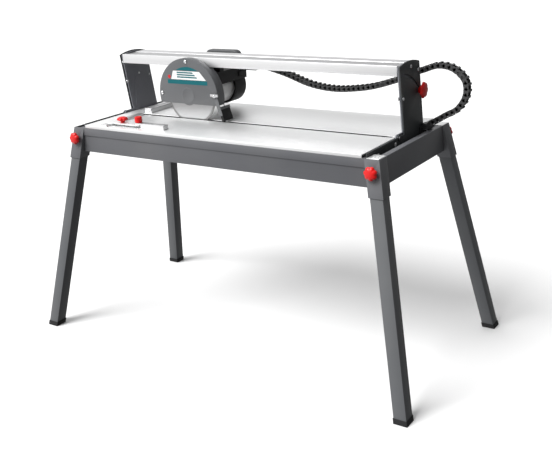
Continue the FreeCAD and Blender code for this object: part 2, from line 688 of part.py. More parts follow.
# ---- fence: guide bar and stop profile on the table, slider with its lock, swivelling fence bar ----

BAR_RIGHT = "bar_left + bar_width"
BAR_HIGH = "table_top + bar_height"
node("guide_bar", span(("bar_left", BAR_RIGHT), ("-229", "-42"), ("table_top", BAR_HIGH)))
node("stop_profile", cut(
    span(("bar_left - 3", "bar_left + 27"), ("-8", "225"), ("table_top", "table_top + 16")),
    span(("bar_left + 7", "bar_left + 17"), ("-4", "226"), ("table_top + 12", "table_top + 17")),
))

PLATE = (f"{BAR_HIGH} + 0.3", f"{BAR_HIGH} + 4.3")
FENCE_Y = ("fence_line - arm_half", "fence_line + arm_half")


def fence_rod(place_x, low, radius, high):
    return rod((place_x, "fence_line", low), radius, f"({high}) - ({low})", "z")


node("fence_slider", cut(
    join(
        span(("bar_left - 4", "swivel_place"), FENCE_Y, PLATE),
        fence_rod("swivel_place", PLATE[0], "arm_half", PLATE[1]),
        span(("bar_left - 4", "bar_left - 0.3"), FENCE_Y, ("table_top + 0.5", PLATE[1])),
        span((f"{BAR_RIGHT} + 0.3", f"{BAR_RIGHT} + 4"), FENCE_Y, ("table_top + 0.5", PLATE[1])),
    ),
    fence_rod("swivel_place", "table_top", "bolt_radius + running", "table_top + 30"),
    fence_rod("lock_place", "table_top", "bolt_radius + 1 + running", "table_top + 30"),
))
node("fence_bar", cut(
    join(
        span(("swivel_place", "fence_tip"), ("fence_line - 12", "fence_line + 12"),
             (f"{PLATE[1]} + 0.3", f"{PLATE[1]} + 4.3")),
        fence_rod("swivel_place", f"{PLATE[1]} + 0.3", "12", f"{PLATE[1]} + 4.3"),
        cut(span(("swivel_place", "fence_tip"), ("fence_line - 12", "fence_line + 12"),
                 ("table_top + 0.5", f"{PLATE[1]} + 4.3")),
            fence_rod("swivel_place", "table_top", "arm_half + 3", f"{PLATE[1]} + 0.3")),
    ),
    fence_rod("swivel_place", "table_top", "bolt_radius + running", "table_top + 30"),
))
node("fence_knob", lobed_knob(("lock_place", "fence_line", f"{PLATE[1]} + 0.2"), "z", 1, "18", "13", 6,
                              "bolt_radius + 1", "8"))
node("swivel_knob", join(
    fence_rod("swivel_place", f"{PLATE[1]} + 4.6", "12", f"{PLATE[1]} + 24"),
    fence_rod("swivel_place", "table_top + 4", "bolt_radius", f"{PLATE[1]} + 6"),
))

# ---- check and write ----

doc.recompute()
for item in doc.Objects:
    if {"Invalid", "Error"} & set(item.State):
        raise SystemExit(f"{item.Label} ({item.Name}) failed: {item.State}")
for item in pieces:
    if item.Shape.isNull() or not item.Shape.isValid() or not item.Shape.Solids:
        raise SystemExit(f"{item.Label} has no valid solid")
os.makedirs("parts", exist_ok=True)
for item in pieces:
    item.Shape.exportStep(f"parts/{item.Label}.step")
print(len(pieces), "nodes", sum(len(item.Shape.Solids) for item in pieces), "solids")
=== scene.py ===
import json
import math

import bmesh
import bpy
import numpy as np
from mathutils import Matrix, Vector


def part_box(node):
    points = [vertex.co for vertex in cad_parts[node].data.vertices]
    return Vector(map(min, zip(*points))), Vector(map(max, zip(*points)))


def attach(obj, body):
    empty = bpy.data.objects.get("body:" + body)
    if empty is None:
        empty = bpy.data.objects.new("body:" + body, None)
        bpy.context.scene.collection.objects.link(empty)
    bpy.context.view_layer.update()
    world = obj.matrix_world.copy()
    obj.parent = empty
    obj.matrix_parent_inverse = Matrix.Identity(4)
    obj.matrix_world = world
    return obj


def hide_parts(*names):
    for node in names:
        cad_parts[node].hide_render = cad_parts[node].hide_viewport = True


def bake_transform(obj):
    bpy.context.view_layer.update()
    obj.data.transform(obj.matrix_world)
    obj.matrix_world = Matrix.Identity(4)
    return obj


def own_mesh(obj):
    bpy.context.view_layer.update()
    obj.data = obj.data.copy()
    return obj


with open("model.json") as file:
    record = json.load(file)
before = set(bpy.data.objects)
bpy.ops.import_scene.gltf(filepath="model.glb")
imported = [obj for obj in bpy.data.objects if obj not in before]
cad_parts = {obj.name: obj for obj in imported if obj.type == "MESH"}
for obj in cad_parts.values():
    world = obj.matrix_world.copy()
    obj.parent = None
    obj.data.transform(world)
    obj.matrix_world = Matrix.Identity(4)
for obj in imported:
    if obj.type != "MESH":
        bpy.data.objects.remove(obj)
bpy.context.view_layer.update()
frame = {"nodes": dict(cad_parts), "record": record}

# ---- the studio ----
# A pale floor that runs far behind the machine, one large soft key light from the front left, and a sky
# that lights the machine brightly from the left and dimly from the right, as a light tent does. Looked at
# directly, the sky is plain white.


class Wire:
    """A node's output. Arithmetic on it adds Math nodes to the same tree."""

    def __init__(self, tree, socket):
        self.tree, self.socket = tree, socket

    def maths(self, operation, *terms):
        return self.tree.node("ShaderNodeMath", {"operation": operation}, dict(enumerate(terms)))

    def output(self, name):
        return Wire(self.tree, self.socket.node.outputs[name])

    def __add__(self, other):
        return self.maths("ADD", self, other)

    def __sub__(self, other):
        return self.maths("SUBTRACT", self, other)

    def __rsub__(self, other):
        return self.maths("SUBTRACT", other, self)

    def __mul__(self, other):
        return self.maths("MULTIPLY", self, other)

    def __truediv__(self, other):
        return self.maths("DIVIDE", self, other)

    def __pow__(self, other):
        return self.maths("POWER", self, other)

    def __gt__(self, other):
        return self.maths("GREATER_THAN", self, other)

    def __lt__(self, other):
        return self.maths("LESS_THAN", self, other)

    __radd__ = __add__
    __rmul__ = __mul__


class Tree:
    """A node tree, for a material, the sky or Geometry Nodes."""

    def __init__(self, tree):
        self.tree = tree

    def node(self, kind, settings=None, sockets=None):
        item = self.tree.nodes.new(kind)
        for name, value in (settings or {}).items():
            setattr(item, name, value)
        self.feed(item, sockets or {})
        first = next((socket for socket in item.outputs if socket.enabled), None)
        return Wire(self, first) if first else item

    def feed(self, item, sockets):
        for name, value in sockets.items():
            if isinstance(value, Wire):
                self.tree.links.new(value.socket, item.inputs[name])
            else:
                item.inputs[name].default_value = value


camera = bpy.data.objects.new("studio_camera", bpy.data.cameras.new("studio_camera"))
camera.data.lens, camera.data.sensor_width = 55.85, 36
camera.data.clip_end = 200
yaw, pitch, roll = (math.radians(angle) for angle in (34.56, 19.62, -3.365))
ahead = Vector((-math.sin(yaw) * math.cos(pitch), math.cos(yaw) * math.cos(pitch), -math.sin(pitch)))
right = Vector((math.cos(yaw), math.sin(yaw), 0))
above = right.cross(ahead)
across = right * math.cos(roll) + above * math.sin(roll)
upward = above * math.cos(roll) - right * math.sin(roll)
camera.matrix_world = Matrix.Translation((1.5926, -2.2177, 1.324)) @ Matrix(
    (across, upward, -ahead)).transposed().to_4x4()
bpy.context.collection.objects.link(camera)
bpy.context.scene.camera = camera
bpy.context.scene.view_settings.view_transform = "Standard"

sky = bpy.data.worlds.new("studio_sky")
sky.use_nodes = True
bpy.context.scene.world = sky
sky_tree = Tree(sky.node_tree)
direction = sky_tree.node("ShaderNodeTexCoord").output("Generated")
facing = sky_tree.node("ShaderNodeVectorMath", {"operation": "DOT_PRODUCT"},
                       {0: direction, 1: Vector((-1.0, 0.05, 0.10)).normalized()})
glow = sky_tree.node("ShaderNodeMapRange", {"interpolation_type": "SMOOTHSTEP"},
                     {"Value": facing.output("Value"), "From Min": -0.45, "From Max": 0.50,
                      "To Min": 0.21, "To Max": 1.0})
seen = sky_tree.node("ShaderNodeLightPath").output("Is Camera Ray")
sky_tree.feed(sky.node_tree.nodes["Background"],
              {"Color": (1, 1, 1, 1), "Strength": glow + seen * (1 - glow)})

key = bpy.data.objects.new("key_light", bpy.data.lights.new("key_light", "SUN"))
key.data.energy, key.data.angle = 3.55, math.radians(35)
key.matrix_world = Vector((-0.30, -0.62, 0.78)).to_track_quat("Z", "Y").to_matrix().to_4x4()
bpy.context.collection.objects.link(key)


class Finish(Tree):
    """A material on the Principled shader, whose patterns are laid out in metres."""

    def __init__(self, name, **constants):
        self.material = bpy.data.materials.new(name)
        self.material.use_nodes = True
        super().__init__(self.material.node_tree)
        self.shader = self.tree.nodes["Principled BSDF"]
        self.place = self.node("ShaderNodeTexCoord").output("Object")
        self.set(**constants)

    def set(self, **values):
        """Word_Word is the shader's own socket; three numbers are a colour."""
        self.feed(self.shader, {
            word.replace("_", " "): (*value, 1) if isinstance(value, tuple) else value
            for word, value in values.items()})
        return self

    def noise(self, size, detail=2.0, stretch=(1, 1, 1)):
        """Soft noise whose grains are about size across, longer where stretch is over 1."""
        spread = self.node("ShaderNodeMapping", {}, {
            "Vector": self.place, "Scale": tuple(1 / (size * times) for times in stretch)})
        return self.node("ShaderNodeTexNoise", {}, {"Vector": spread, "Scale": 1.0, "Detail": detail})

    def tint(self, amount, first, second):
        return self.node("ShaderNodeMix", {"data_type": "RGBA"},
                         {0: amount, 6: (*first, 1), 7: (*second, 1)})

    def repaint(self, amount, under, colour):
        return self.node("ShaderNodeMix", {"data_type": "RGBA"}, {0: amount, 6: under, 7: (*colour, 1)})

    def ramp(self, value, low, high):
        """0 below low, 1 above high."""
        return self.node("ShaderNodeMapRange", {}, {"Value": value, "From Min": low, "From Max": high})

    def relief(self, height, depth):
        return self.set(Normal=self.node("ShaderNodeBump", {}, {
            "Height": height, "Distance": depth, "Strength": 1.0}))

    def edges(self, radius):
        """About 1 along outside corners, 0 on the flats."""
        rounded = self.node("ShaderNodeBevel", {"samples": 4}, {"Radius": radius})
        plain = self.node("ShaderNodeNewGeometry").output("Normal")
        alike = self.node("ShaderNodeVectorMath", {"operation": "DOT_PRODUCT"}, {0: rounded, 1: plain})
        return self.ramp(1 - alike.output("Value"), 0.02, 0.22)


def shade(thing, finish):
    thing.data.materials.clear()
    thing.data.materials.append(finish.material)
    return thing


backdrop = Finish("studio_floor", Roughness=0.75, Specular_IOR_Level=0.2)
backdrop.set(Base_Color=backdrop.tint(backdrop.noise(0.6), (0.86, 0.86, 0.86), (0.88, 0.88, 0.88)))
floor_mesh = bpy.data.meshes.new("studio_floor")
floor_half = 60
floor_mesh.from_pydata([(-floor_half, -floor_half, 0), (floor_half, -floor_half, 0),
                        (floor_half, floor_half, 0), (-floor_half, floor_half, 0)], [], [(0, 1, 2, 3)])
floor = shade(bpy.data.objects.new("studio_floor", floor_mesh), backdrop)
bpy.context.collection.objects.link(floor)
floor.visible_diffuse = floor.visible_glossy = False

# ---- the folded frame ----
# Aprons, end plates and cross beams are 2 mm steel sheet, folded, with the leg sockets welded into the
# corners. It is powder coated mid grey: a fine orange peel, a little dust, and paler paint on the folds
# that is partly edge wear and partly a painted highlight.

home = {node: body for body, nodes in frame["record"]["behaviour"]["bodies"].items() for node in nodes}


def powder_coat(name, colour, rough):
    paint = Finish(name, Specular_IOR_Level=0.35)
    cloud = paint.noise(0.12, 4)
    dust = paint.ramp(paint.noise(0.35, 6), 0.45, 0.8)
    base = paint.tint(cloud, tuple(0.90 * level for level in colour),
                      tuple(1.10 * level for level in colour))
    dust_and_painted_shade = paint.repaint(dust * 0.16, base, (0.30, 0.29, 0.27))
    # Paler paint along the folds and edges: partly edge wear, partly a painted highlight.
    worn_and_highlit = paint.repaint(paint.edges(0.0012) * 0.35, dust_and_painted_shade, tuple(2.1 * level + 0.01 for level in colour))
    paint.set(Base_Color=worn_and_highlit, Roughness=rough + 0.10 * cloud + 0.12 * dust)
    return paint.relief(paint.noise(0.0016), 0.00012)


def link_up(name, mesh):
    thing = bpy.data.objects.new(name, mesh)
    bpy.context.collection.objects.link(thing)
    return thing


def smooth(mesh, angle=32):
    mesh.polygons.foreach_set("use_smooth", [True] * len(mesh.polygons))
    mesh.set_sharp_from_angle(angle=math.radians(angle))


def eased(node, radius, finish, segments=2):
    """The node's own shape with its sharp edges rounded, as a fold, a weld or a mould leaves them."""
    shape = bmesh.new()
    shape.from_mesh(frame["nodes"][node].data)
    bmesh.ops.remove_doubles(shape, verts=shape.verts, dist=0.000002)
    bmesh.ops.dissolve_limit(shape, angle_limit=math.radians(1.5), verts=shape.verts, edges=shape.edges)
    corners = [edge for edge in shape.edges
               if len(edge.link_faces) == 2 and edge.calc_face_angle(0) > math.radians(35)]
    bmesh.ops.bevel(shape, geom=corners, offset=radius, segments=segments, profile=0.5, affect="EDGES",
                    clamp_overlap=True)
    bmesh.ops.triangulate(shape, faces=shape.faces)
    mesh = bpy.data.meshes.new(node + "_eased")
    shape.to_mesh(mesh)
    shape.free()
    smooth(mesh)
    piece = shade(link_up(node + "_eased", mesh), finish)
    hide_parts(node)
    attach(piece, home[node])
    return piece


def dress(finish, *nodes):
    for node in nodes:
        for slot in frame["nodes"][node].material_slots:
            slot.material = finish.material


frame_paint = powder_coat("frame_grey_powder_coat", (0.116, 0.119, 0.129), 0.42)
CORNERS = ("front_left", "front_right", "rear_left", "rear_right")
for node in ("apron_front", "apron_rear", "end_plate_left", "end_plate_right"):
    eased(node, 0.0009, frame_paint)
for corner in CORNERS:
    eased("leg_socket_" + corner, 0.0012, frame_paint)
dress(frame_paint, "cross_beams")

# ---- legs and feet ----
# Four 40 mm square tubes with the same coating, cut at their splay and pushed into the sockets. Each
# ends in a moulded black rubber cap with a ribbed sole.

leg_paint = powder_coat("leg_grey_powder_coat", (0.104, 0.109, 0.116), 0.40)
rubber = Finish("black_moulded_rubber", Specular_IOR_Level=0.3)
bloom = rubber.noise(0.02, 5)
rubber.set(Base_Color=rubber.tint(bloom, (0.009, 0.009, 0.010), (0.020, 0.020, 0.021)),
           Roughness=0.55 + 0.25 * bloom).relief(rubber.noise(0.0009), 0.00025)
for corner in CORNERS:
    eased("leg_" + corner, 0.0014, leg_paint)
    eased("foot_" + corner, 0.0022, rubber, 3)

# ---- clamping knobs ----
# Red nylon star knobs with seven lobes, a collar and a domed cap, moulded round a steel stud. Four
# hold the legs, two lock the tilt and a smaller six-lobed one locks the fence.

joint_place = {joint["name"]: joint.get("pos_m") for joint in frame["record"]["behaviour"]["joints"]}
nylon = Finish("red_moulded_nylon", Coat_Weight=0.08, Coat_Roughness=0.22, Subsurface_Weight=0.02,
               Specular_IOR_Level=0.4)
nylon.shader.inputs["Subsurface Radius"].default_value = (0.004, 0.001, 0.001)
flow = nylon.noise(0.012, 4)
nylon.set(Base_Color=nylon.tint(flow, (0.64, 0.004, 0.004), (0.76, 0.009, 0.007)),
          Roughness=0.30 + 0.14 * flow).relief(nylon.noise(0.0007), 0.00006)
steel = Finish("bright_zinc_plated_steel", Metallic=1.0)
plating = steel.noise(0.004, 4)
steel.set(Base_Color=steel.tint(plating, (0.66, 0.67, 0.69), (0.82, 0.82, 0.82)),
          Roughness=0.20 + 0.18 * plating).relief(steel.noise(0.0008), 0.00004)


def turned(name, rows, at, out, finish, sides=84, lobes=0, depth=0.0):
    """A closed turned shape. A row is a distance along out, a radius and a share of the lobes; the first
    and last radius are 0."""
    out = Vector(out).normalized()
    side = out.orthogonal().normalized()
    other = out.cross(side)
    shape = bmesh.new()
    rings = []
    for along, radius, share in rows:
        middle = Vector(at) + out * along
        if radius == 0:
            rings.append([shape.verts.new(middle)])
            continue
        ring = []
        for step in range(sides):
            turn = 2 * math.pi * step / sides
            size = radius * (1 - depth * share * (0.5 - 0.5 * math.cos(lobes * turn)) ** 1.5)
            ring.append(shape.verts.new(middle + (side * math.cos(turn) + other * math.sin(turn)) * size))
        rings.append(ring)
    for low, high in zip(rings, rings[1:]):
        for step in range(sides):
            after = (step + 1) % sides
            if len(low) == 1 and len(high) > 1:
                shape.faces.new((low[0], high[after], high[step]))
            elif len(high) == 1 and len(low) > 1:
                shape.faces.new((low[step], low[after], high[0]))
            elif len(low) > 1:
                shape.faces.new((low[step], low[after], high[after], high[step]))
    bmesh.ops.recalc_face_normals(shape, faces=shape.faces)
    mesh = bpy.data.meshes.new(name)
    shape.to_mesh(mesh)
    shape.free()
    smooth(mesh, 40)
    return shade(link_up(name, mesh), finish)


def joined(name, *things):
    """Several shapes as one mesh that keeps each one's finish."""
    shape = bmesh.new()
    finishes = []
    for thing in things:
        first = len(shape.faces)
        shape.from_mesh(thing.data)
        shape.faces.ensure_lookup_table()
        for face in shape.faces[first:]:
            face.material_index += len(finishes)
        finishes += list(thing.data.materials)
    mesh = bpy.data.meshes.new(name)
    shape.to_mesh(mesh)
    shape.free()
    for material in finishes:
        mesh.materials.append(material)
    for thing in things:
        bpy.data.objects.remove(thing)
    mesh.set_sharp_from_angle(angle=math.radians(38))
    return link_up(name, mesh)


def knob(node, out, radius, tall, stud_radius, neck=0.27, lobes=7, depth=0.12):
    """A star knob on the node's own joint axis, its cap level with the node's outer end."""
    low, high = (Vector(corner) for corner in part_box(node))
    out = Vector(out)
    along = max(range(3), key=lambda number: abs(out[number]))
    ends = (low[along], high[along]) if out[along] > 0 else (high[along], low[along])
    seat = Vector(joint_place[node + "_turn"])
    seat[along] = ends[1]
    seat -= out * tall
    inner = abs(seat[along] - ends[0])
    r, t, n, h = radius, tall, neck * tall, (1 - neck) * tall
    head = turned(node + "_head", (
        (0, 0, 0), (0, 0.40 * r, 0), (0.8 * n, 0.40 * r, 0), (n, 0.46 * r, 0.2),
        (n + 0.07 * h, 0.72 * r, 0.7), (n + 0.12 * h, 0.90 * r, 1), (n + 0.20 * h, 0.975 * r, 1),
        (n + 0.34 * h, r, 1), (n + 0.48 * h, 0.985 * r, 1), (n + 0.62 * h, 0.93 * r, 1),
        (n + 0.75 * h, 0.83 * r, 0.9), (n + 0.86 * h, 0.67 * r, 0.7), (n + 0.94 * h, 0.46 * r, 0.4),
        (n + 0.985 * h, 0.24 * r, 0.1), (t, 0, 0)),
        seat, out, nylon, 14 * lobes, lobes, depth)
    stud = turned(node + "_stud", (
        (-inner, 0, 0), (-inner, 0.8 * stud_radius, 0), (-inner + 0.0008, stud_radius, 0),
        (0.002, stud_radius, 0), (0.002, 0, 0)), seat, out, steel, 24)
    piece = joined(node + "_star", head, stud)
    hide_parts(node)
    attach(piece, home[node])
    return piece


for corner in CORNERS:
    knob("leg_knob_" + corner, (0, -1 if "front" in corner else 1, 0), 0.0205, 0.022, 0.0039)
for label, sign in (("left", -1), ("right", 1)):
    knob("bevel_knob_" + label, (sign, 0, 0), 0.0250, 0.021, 0.0039, 0.45)


# ---- the table ----
# A 3 mm zinc-plated steel sheet with turned-down edges, brushed lengthwise and scuffed by tiles. The
# walls of its blade slot are painted near black as shade. Two thin covers of the same sheet lie on the
# right-hand corners of the frame.

sheet_metal = Finish("brushed_zinc_sheet", Metallic=0.8)
brushing = sheet_metal.noise(0.0011, 3, (260, 1, 1))
patches = sheet_metal.noise(0.16, 5, (2.2, 1, 1))
scuffs = sheet_metal.ramp(sheet_metal.noise(0.010, 8, (3, 1, 1)), 0.58, 0.72)
slot_y, wall_near, wall_far = -0.027, 0.0080, 0.0100
sheet_place = sheet_metal.node("ShaderNodeSeparateXYZ", {}, {"Vector": sheet_metal.place})
from_slot = (sheet_place.output("Y") - slot_y).maths("ABSOLUTE")
# The band of the blade slot's walls, which is painted near black as shade.
slot_wall_shade = (from_slot < wall_far) * (from_slot > wall_near)
zinc = sheet_metal.tint(brushing, (0.79, 0.80, 0.81), (0.92, 0.92, 0.92))
brushed = sheet_metal.repaint(patches * 0.45, zinc, (0.80, 0.80, 0.79))
# Painted shade: the slot's walls are coloured near black.
sheet_metal.set(Base_Color=sheet_metal.repaint(slot_wall_shade * 0.9, brushed, (0.05, 0.05, 0.05)),
                Roughness=0.34 + 0.16 * brushing + 0.10 * patches + 0.08 * scuffs)
sheet_metal.relief(brushing + scuffs * 0.4, 0.00003)
eased("table_top", 0.0008, sheet_metal)
eased("corner_covers", 0.0005, sheet_metal)

# ---- water tray, drain plug and pump ----
# A vacuum-formed black plastic tray hangs under the table. A rubber plug closes its drain and a small
# sealed pump stands inside; they are seen from below and through the slot only.

tray_plastic = Finish("black_grained_plastic", Specular_IOR_Level=0.4)
film = tray_plastic.noise(0.03, 5)
tray_plastic.set(Base_Color=tray_plastic.tint(film, (0.011, 0.011, 0.012), (0.022, 0.022, 0.023)),
                 Roughness=0.40 + 0.22 * film).relief(tray_plastic.noise(0.0008), 0.00016)
eased("water_tray", 0.0025, tray_plastic, 3)
dress(rubber, "drain_plug")
eased("water_pump", 0.0030, tray_plastic, 3)

# ---- bridge posts, tilting arms and their fasteners ----
# Each post is 4 mm steel plate, crowned and leaning forward, with an arc slot for the tilt lock, coated
# near black. Pan-head screws with a star socket hold it to the beams and carry its glide pads. The dark
# grey arm inside it has a rolled swage and two small screws of its own.

post_paint = powder_coat("post_near_black_powder_coat", (0.032, 0.036, 0.039), 0.42)
arm_paint = powder_coat("arm_dark_grey_powder_coat", (0.160, 0.165, 0.185), 0.40)
for label in ("left", "right"):
    eased("post_" + label, 0.0008, post_paint)
    eased("tilt_arm_" + label, 0.0008, arm_paint)

screw_pattern = turned("screw_pattern", (
    (-0.30, 0, 0), (-0.30, 0.42, 0), (0, 0.42, 0), (0, 0.94, 0), (0.06, 1.0, 0), (0.22, 0.98, 0),
    (0.38, 0.86, 0), (0.50, 0.66, 0), (0.53, 0.46, 0), (0.52, 0.42, 1), (0.24, 0.40, 1), (0.22, 0, 0)),
    (0, 0, 0), (0, 0, 1), steel, 36, 6, 0.22)


def repeated(name, pattern, finish, rows):
    """The pattern once at each row: a place, a rotation as Euler angles, and a size."""
    points = bpy.data.meshes.new(name + "_points")
    points.from_pydata([place for place, _, _ in rows], [], [])
    turns = points.attributes.new("turn", "FLOAT_VECTOR", "POINT")
    turns.data.foreach_set("vector", [angle for _, turn, _ in rows for angle in turn])
    sizes = points.attributes.new("size", "FLOAT_VECTOR", "POINT")
    sizes.data.foreach_set("vector", [length for _, _, size in rows for length in size])
    holder = link_up(name + "_points", points)
    group = bpy.data.node_groups.new(name + "_nodes", "GeometryNodeTree")
    for label, kind in (("Points", "NodeSocketGeometry"), ("Pattern", "NodeSocketObject"),
                        ("Finish", "NodeSocketMaterial")):
        group.interface.new_socket(label, in_out="INPUT", socket_type=kind)
    group.interface.new_socket("Pieces", in_out="OUTPUT", socket_type="NodeSocketGeometry")
    tree = Tree(group)
    given = tree.node("NodeGroupInput")
    shape = tree.node("GeometryNodeObjectInfo", {}, {"Object": given.output("Pattern")}).output("Geometry")
    turn = tree.node("GeometryNodeInputNamedAttribute", {"data_type": "FLOAT_VECTOR"}, {"Name": "turn"})
    size = tree.node("GeometryNodeInputNamedAttribute", {"data_type": "FLOAT_VECTOR"}, {"Name": "size"})
    copies = tree.node("GeometryNodeInstanceOnPoints", {}, {
        "Points": given.output("Points"), "Instance": shape,
        "Rotation": turn.output("Attribute"), "Scale": size.output("Attribute")})
    solid = tree.node("GeometryNodeRealizeInstances", {}, {"Geometry": copies})
    painted = tree.node("GeometryNodeSetMaterial", {},
                        {"Geometry": solid, "Material": given.output("Finish")})
    tree.node("NodeGroupOutput", {}, {"Pieces": painted})
    modifier = holder.modifiers.new("copies", "NODES")
    modifier.node_group = group
    inputs = {item.name: item.identifier for item in group.interface.items_tree if item.in_out == "INPUT"}
    modifier[inputs["Pattern"]] = pattern
    modifier[inputs["Finish"]] = finish.material
    return evaluated(name, holder)


def evaluated(name, holder):
    """The holder's Geometry Nodes result as a plain mesh in a new object."""
    result = holder.evaluated_get(bpy.context.evaluated_depsgraph_get())
    mesh = bpy.data.meshes.new_from_object(result)
    bpy.data.objects.remove(holder)
    mesh.set_sharp_from_angle(angle=math.radians(38))
    return link_up(name, mesh)


quarter = math.pi / 2
strip_radius, strip_y_z = 0.0058, ((-0.163, 0.706), (-0.055, 0.712), (0.163, 0.706))
stud_radius, stud_y_z = 0.0052, ((0.050, 0.917), (-0.002, 0.832), (0.100, 0.900))
post_face = 0.534
post_screws = repeated("post_screws", screw_pattern, steel, [
    ((sign * post_face, y, z), (0, sign * quarter, 0), (size,) * 3)
    for sign in (-1, 1)
    for size, spots in ((strip_radius, strip_y_z), (stud_radius, stud_y_z)) for y, z in spots])
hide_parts("frame_screws")
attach(post_screws, "frame")

arm_face = 0.524
arm_y_z_radius = ((-0.009, 0.833, 0.0052), (0.054, 0.852, 0.0036))
swage_foot_y_z, swage_head_y_z = (0.022, 0.740), (0.036, 0.848)
swage_half, swage_tip, swage_taper = 0.0022, 0.0008, 0.004
arm_screws = repeated("arm_screws", screw_pattern, steel, [
    ((sign * arm_face, y, z), (0, -sign * quarter, 0), (size,) * 3)
    for sign in (-1, 1) for y, z, size in arm_y_z_radius])
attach(arm_screws, "tilt_head")
for sign in (-1, 1):
    low, high = Vector((sign * arm_face, *swage_foot_y_z)), Vector((sign * arm_face, *swage_head_y_z))
    run = (high - low).length
    swage = turned("arm_swage", (
        (0, 0, 0), (0, swage_tip, 0), (swage_taper, swage_half, 0), (run - swage_taper, swage_half, 0),
        (run, swage_tip, 0), (run, 0, 0)), low, high - low, arm_paint, 16)
    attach(swage, "tilt_head")

dark_steel = Finish("blackened_steel", Metallic=0.9)
mill_scale = dark_steel.noise(0.006, 4)
dark_steel.set(Base_Color=dark_steel.tint(mill_scale, (0.05, 0.05, 0.055), (0.11, 0.11, 0.115)),
               Roughness=0.32 + 0.2 * mill_scale).relief(dark_steel.noise(0.001), 0.00005)
eased("pivot_bolts", 0.0010, dark_steel)

# ---- guide rail ----
# A clear-anodised aluminium extrusion, open below for the rollers, with fine die lines along its whole
# length. Its upward faces are painted darker as shade, and the floor of the shallow groove that runs
# along it is painted darkest.

anodised = Finish("clear_anodised_extrusion", Metallic=1.0)
die_lines = anodised.noise(0.0013, 2, (900, 1, 1))
satin = anodised.noise(0.08, 3, (6, 1, 1))
rail_place = anodised.node("ShaderNodeSeparateXYZ", {}, {"Vector": anodised.place})
rail_facing = anodised.node("ShaderNodeSeparateXYZ", {}, {
    "Vector": anodised.node("ShaderNodeNewGeometry").output("Normal")})
facing_up = anodised.ramp(rail_facing.output("Z"), 0.6, 0.95)
groove_low, groove_high = 0.9255, 0.9268
# The floor of the groove, which gets painted shade.
groove_floor_shade = facing_up * (rail_place.output("Z") > groove_low) * (rail_place.output("Z") < groove_high)
bare = anodised.tint(die_lines, (0.74, 0.74, 0.75), (0.86, 0.86, 0.86))
# Painted shade: the upward faces are coloured darker.
dust_and_painted_shade = anodised.repaint(facing_up * 0.45, bare, (0.38, 0.38, 0.39))
# Painted shade: the groove's floor is coloured darker still.
anodised.set(Base_Color=anodised.repaint(groove_floor_shade * 0.45, dust_and_painted_shade, (0.24, 0.24, 0.245)),
             Roughness=0.36 + 0.10 * satin + 0.08 * die_lines).relief(die_lines, 0.00002)
eased("guide_rail", 0.0010, anodised, 3)

# ---- carriage, rollers and push handle ----
# The deck is a black moulding whose hanger reaches up through the rail's mouth. Nylon rollers on steel
# axles run on the rail's inner ledges. The arched grey handle is bolted on the deck's rear.

eased("carriage", 0.0020, tray_plastic, 3)
handle_plastic = Finish("grey_moulded_plastic", Specular_IOR_Level=0.4)
swirl = handle_plastic.noise(0.025, 5)
handle_plastic.set(Base_Color=handle_plastic.tint(swirl, (0.070, 0.073, 0.077), (0.095, 0.098, 0.102)),
                   Roughness=0.42 + 0.16 * swirl).relief(handle_plastic.noise(0.0009), 0.00014)
eased("push_handle", 0.0050, handle_plastic, 4)
natural_nylon = Finish("natural_nylon", Subsurface_Weight=0.1)
tone = natural_nylon.noise(0.01, 4)
natural_nylon.set(Base_Color=natural_nylon.tint(tone, (0.66, 0.64, 0.59), (0.76, 0.75, 0.71)),
                  Roughness=0.35 + 0.15 * tone).relief(natural_nylon.noise(0.001), 0.00004)
for label in ("left", "right"):
    eased("roller_pair_" + label, 0.0007, natural_nylon)

# ---- motor ----
# A bare cast aluminium can with a black moulded rear housing that hangs it from the deck. The housing
# has a ring of cooling ribs on its back and a rocker switch on its right side.

casting = Finish("cast_aluminium_motor_can", Metallic=1.0)
grit = casting.noise(0.0015, 3)
stain = casting.noise(0.05, 5)
casting.set(Base_Color=casting.tint(stain, (0.80, 0.80, 0.80), (0.92, 0.92, 0.92)),
            Roughness=0.42 + 0.12 * stain).relief(grit, 0.00012)
eased("motor_can", 0.0015, casting)
eased("rear_housing", 0.0022, tray_plastic, 3)
eased("switch_rocker", 0.0015, tray_plastic, 3)
machined = Finish("turned_steel", Metallic=1.0)
cut_marks = machined.noise(0.0009, 2)
machined.set(Base_Color=machined.tint(cut_marks, (0.48, 0.48, 0.50), (0.60, 0.60, 0.61)),
             Roughness=0.28 + 0.18 * cut_marks).relief(cut_marks, 0.00002)
dress(machined, "motor_shaft", "motor_bearings")
eased("blade_clamp", 0.0006, machined)

motor_x, motor_z = -0.224, 0.806
rib_mesh = bpy.data.meshes.new("rib_pattern")
rib_shape = bmesh.new()
bmesh.ops.create_cube(rib_shape, size=1.0)
bmesh.ops.bevel(rib_shape, geom=rib_shape.edges, offset=0.18, segments=2, affect="EDGES")
rib_shape.to_mesh(rib_mesh)
rib_shape.free()
rib_pattern = link_up("rib_pattern", rib_mesh)
housing_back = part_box("rear_housing")[1][1]
rib_circle, rib_size, rib_count = 0.036, (0.028, 0.0018, 0.0026), 20
ribs = repeated("cooling_ribs", rib_pattern, tray_plastic, [
    ((motor_x + rib_circle * math.cos(turn), housing_back - 0.0002, motor_z + rib_circle * math.sin(turn)),
     (0, -turn, 0), rib_size)
    for turn in (2 * math.pi * step / rib_count for step in range(rib_count))])
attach(ribs, "carriage")

# ---- blade ----
# A 200 mm diamond blade: a ground steel disc with faint turning marks and a continuous sintered rim,
# which is darker, matt and a little thicker.

